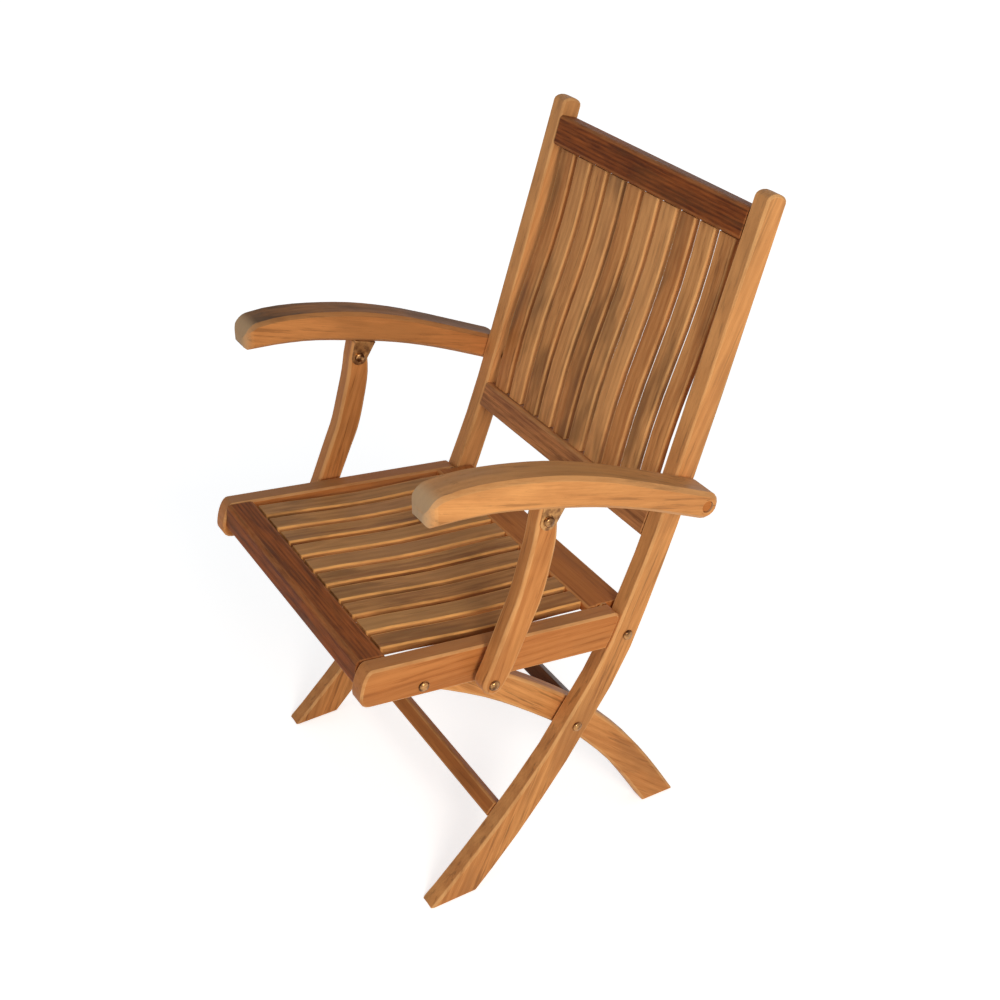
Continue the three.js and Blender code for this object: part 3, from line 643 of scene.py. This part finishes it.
# The right armrest, on the far side, is the darker shade-painted teak with more painted shade on its
# top.
for side, arm_wood, top_weather_and_shade in (("left", teak, 0.62), ("right", shade_painted_teak, 0.95)):
    finish_board(f"stile_{side}", "back_frame", teak, board_ease, tone=-0.85, foot_tone=0.15)
    finish_board(f"rear_leg_{side}", "rear_leg_frame", teak, board_ease, tone=-0.1, foot_tone=0.45)
    finish_board(f"seat_rail_{side}", "seat", teak, board_ease, tone=0.95, ring_width=0.0014)
    finish_board(f"arm_support_{side}", f"support_{side}", teak, board_ease, tone=0.45)
    finish_board(f"armrest_{side}", f"arm_{side}", arm_wood, armrest_ease, rings=3, tone=-0.35,
                 wear=0.7, weathered_and_shaded=top_weather_and_shade, nose_grey=0.8)
    finish_board(f"arm_pivot_plug_{side}", f"arm_{side}", shade_painted_teak, plug_ease, tone=0.8,
                 ring_width=0.001)
print("curved boards finished")

# %% Rails and stretchers across the chair
back_rail_ease, front_rail_ease, thin_bar_ease = 0.0008, 0.0010, 0.0007
finish_board("top_back_rail", "back_frame", dark_teak, back_rail_ease, crosswise=True,
             weathered_and_shaded=0.2, fineness=1.8)
finish_board("lower_back_rail", "back_frame", brown_teak, back_rail_ease, crosswise=True,
             weathered_and_shaded=0.3, fineness=1.4)
finish_board("seat_front_rail", "seat", dark_teak, front_rail_ease, crosswise=True,
             weathered_and_shaded=0.15, fineness=2.0)
# The seat's rear rail and the front stretcher are the darker shade-painted teak.
finish_board("seat_rear_rail", "seat", shade_painted_teak, thin_bar_ease, crosswise=True, tone=0.8,
             weathered_and_shaded=0.25)
finish_board("front_leg_stretcher", "back_frame", shade_painted_teak, thin_bar_ease, crosswise=True, tone=0.7)
# The rear stretcher is painted nearly black, as the shade under the seat.
finish_board("rear_leg_stretcher", "rear_leg_frame", shade_black_teak, thin_bar_ease, crosswise=True,
             weathered_and_shaded=0.1)
print("bars across the chair finished")

# %% [markdown]
# The slats are thin strips cut from many different planks, so they differ most in colour: some are
# straw brown, some nearly red. A fixed list of tones keeps the mix the same at every run.

# %% Slats of the seat and the back
slat_ease, slat_ring = 0.0005, 0.0013
back_tones = (0.55, -0.35, 0.30, -0.65, 0.45, -0.50, -0.80, 0.60, -0.20, 0.40)
seat_tones = (-0.30, -0.70, 0.20, -0.50, -0.80, 0.10, -0.60, 0.35, -0.40, 0.50)
for index, (back_tone, seat_tone) in enumerate(zip(back_tones, seat_tones), start=1):
    finish_board(f"back_slat_{index:02d}", "back_frame", slat_teak, slat_ease, tone=back_tone,
                 ring_width=slat_ring)
    finish_board(f"seat_slat_{index:02d}", "seat", seat_teak, slat_ease, tone=seat_tone,
                 ring_width=slat_ring)
print("slats finished:", len(back_tones) + len(seat_tones))

# %% [markdown]
# ## Bolts and brackets
#
# Each pivot is a brass bolt with a low domed head on a washer. Its other end is a domed nut, a
# spacer, or flush where the bolt ends inside a board. A lathe would turn the head, and here a short
# cylinder is grown instead: its end face is inset and drawn out again and again, which steps round
# the dome. The bolt is made for the chair's left side and copied, mirrored, to the right.

# %% Grow a round shape along the chair's X direction
bolt_sides = 40
dome_rings = 5
end_facing = 0.99
end_depth = 0.00005


def round_start(name, outer_x, thickness, radius, place):
    bpy.ops.object.select_all(action="DESELECT")
    bpy.ops.mesh.primitive_cylinder_add(
        vertices=bolt_sides, radius=radius, depth=thickness,
        location=(outer_x - thickness / 2, *place), rotation=(0, math.pi / 2, 0))
    piece = bpy.context.object
    piece.name = name
    bpy.ops.object.transform_apply(location=True, rotation=True, scale=True)
    bpy.ops.object.mode_set(mode="EDIT")
    return piece


def pick_end(piece, direction):
    """Selects the flat end that faces along +X or -X and lies furthest that way."""
    mesh = bmesh.from_edit_mesh(piece.data)
    ends = [face for face in mesh.faces if face.normal.x * direction > end_facing]
    reach = max(face.calc_center_median().x * direction for face in ends)
    select_faces(piece, lambda face: face.normal.x * direction > end_facing
                 and face.calc_center_median().x * direction > reach - end_depth)


def draw_in(distance):
    """The picked face made smaller by an inset."""
    bpy.ops.mesh.inset(thickness=distance)


def draw_out(distance, direction):
    """The picked face drawn out along X, with a wall round it."""
    bpy.ops.mesh.extrude_region_move(TRANSFORM_OT_translate={"value": (direction * distance, 0, 0)})


def push(distance, direction):
    """The picked face moved along X, with a slope round it."""
    bpy.ops.transform.translate(value=(direction * distance, 0, 0))


def dome(radius, height, direction):
    """A low dome on the picked face, in rings that are inset and then moved."""
    angles = [math.pi / 2 * ring / dome_rings for ring in range(dome_rings)]
    rings = [(radius * math.cos(angle), height * math.sin(angle)) for angle in angles]
    for lower, upper in zip(rings, rings[1:]):
        draw_in(lower[0] - upper[0])
        push(upper[1] - lower[1], direction)


# %% Finish a brass piece and mirror it to the other side
brass_merge_distance = 0.00001
brass_smooth_angle = math.radians(35)


def finish_brass(piece, node, bodies, metal):
    bpy.ops.object.mode_set(mode="EDIT")
    bpy.ops.mesh.select_all(action="SELECT")
    bpy.ops.mesh.remove_doubles(threshold=brass_merge_distance)
    bpy.ops.mesh.normals_make_consistent(inside=False)
    bpy.ops.object.mode_set(mode="OBJECT")
    bpy.ops.object.shade_smooth_by_angle(angle=brass_smooth_angle)
    piece.data.materials.append(metal)
    twin = bpy.data.objects.new(f"{node}_right_brass", piece.data.copy())
    twin.data.transform(Matrix.Scale(-1, 4, (1, 0, 0)))
    twin.data.flip_normals()
    bpy.context.scene.collection.objects.link(twin)
    for side, one, body in zip(("left", "right"), (piece, twin), bodies):
        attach(one, body)
        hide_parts(f"{node}_{side}")


# %% [markdown]
# A washer is a little wider than the head on it. A bare ring of it shows, then a narrow groove
# runs round the head's short wall, and the dome rises from there. The shank is thinner than the
# head, and a nut is a short wall with a dome on it.

# %% A bolt, from its washer to its tail
head_radius = 0.0072
plugged_head_radius = 0.0069
washer_thickness = 0.0007
washer_margin = 0.0003
bare_ring = 0.0007
groove = 0.0002
head_wall = 0.0004
dome_height = 0.0031
shank_radius = 0.0037
tail_step = 0.0002
tail_radius = 0.0065
nut_height = 0.0035
tail_wall_share = 0.55


def bolt(node, bodies, place, washer_x, end_x, tail_height, head=head_radius):
    """A bolt with its washer on the face at washer_x, its shank's end at end_x and a tail past it."""
    piece = round_start(f"{node}_left_brass", washer_x + washer_thickness, washer_thickness,
                        head + washer_margin, place)
    pick_end(piece, 1)
    draw_in(bare_ring)
    draw_in(groove)
    push(groove, -1)
    draw_out(head_wall, 1)
    dome(head + washer_margin - bare_ring - groove, dome_height, 1)
    pick_end(piece, -1)
    draw_in(head + washer_margin - shank_radius)
    draw_out(washer_x - end_x, -1)
    if tail_height:
        draw_in(tail_step)
        flare = tail_radius / (shank_radius - tail_step)
        bpy.ops.transform.resize(value=(1, flare, flare), center_override=(end_x, *place))
        draw_out(tail_height * tail_wall_share, -1)
        dome(tail_radius, tail_height * (1 - tail_wall_share), -1)
    bpy.ops.object.mode_set(mode="OBJECT")
    finish_brass(piece, node, bodies, brass)


# %% Where the bolts go
face_gap = 0.0003
plugged_head_depth = 0.004


def centre_of(node):
    low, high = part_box(node)
    return ((low[1] + high[1]) / 2, (low[2] + high[2]) / 2)


def reach_of(node):
    low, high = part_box(node)
    return low[0], high[0]


frame_pair = ("back_frame", "back_frame")
arm_pair = ("arm_left", "arm_right")
support_pair = ("support_left", "support_right")
bolt_list = (
    ("leg_pivot_bolt", frame_pair, "stile_left", "nut"),
    ("hinge_bracket_bolt", frame_pair, "stile_left", "flush"),
    ("seat_rail_bolt", ("seat", "seat"), "seat_rail_left", "flush"),
    ("support_foot_bolt", support_pair, "arm_support_left", "spacer"),
    ("support_top_bolt", arm_pair, "arm_bracket_left", "nut"),
)
for node, bodies, board, tail in bolt_list:
    bolt_end = reach_of(f"{node}_left")[0]
    board_inner, board_outer = reach_of(board)
    face = board_outer + face_gap
    spacer_length = board_inner - face_gap - bolt_end
    tail_height = {"flush": 0, "nut": nut_height, "spacer": spacer_length}[tail]
    bolt(node, bodies, centre_of(f"{node}_left"), face, bolt_end + tail_height, tail_height)
    print(node, "head on the face at", round(face, 4), "m")

# %% The arm's bolt, whose head lies deep under its wooden plug
inner, outer = reach_of("arm_pivot_bolt_left")
bolt("arm_pivot_bolt", frame_pair, centre_of("arm_pivot_bolt_left"), outer - plugged_head_depth,
     inner + nut_height, nut_height, head=plugged_head_radius)

# %% [markdown]
# The armrest stands on a bent brass bracket, whose ears hug the top of the support, and the seat
# hangs on a small plate inside each stile. Their measured shapes are right, so a copy only gets its
# edges broken with a fine bevel.

# %% Bent brackets and hinge plates
bracket_merge_distance = 0.00002
bracket_ridge_angle = math.radians(50)
bracket_ease = 0.0003
for node, bodies in (("arm_bracket", arm_pair), ("seat_hinge_bracket", frame_pair)):
    piece = copy_of_part(f"{node}_left", "brass")
    open_merged(bracket_merge_distance)
    select_sharp(bracket_ridge_angle)
    bpy.ops.mesh.bevel(offset=bracket_ease, segments=2, affect="EDGES", clamp_overlap=True)
    bpy.ops.object.mode_set(mode="OBJECT")
    finish_brass(piece, node, bodies, brown_brass)
print("brackets finished")
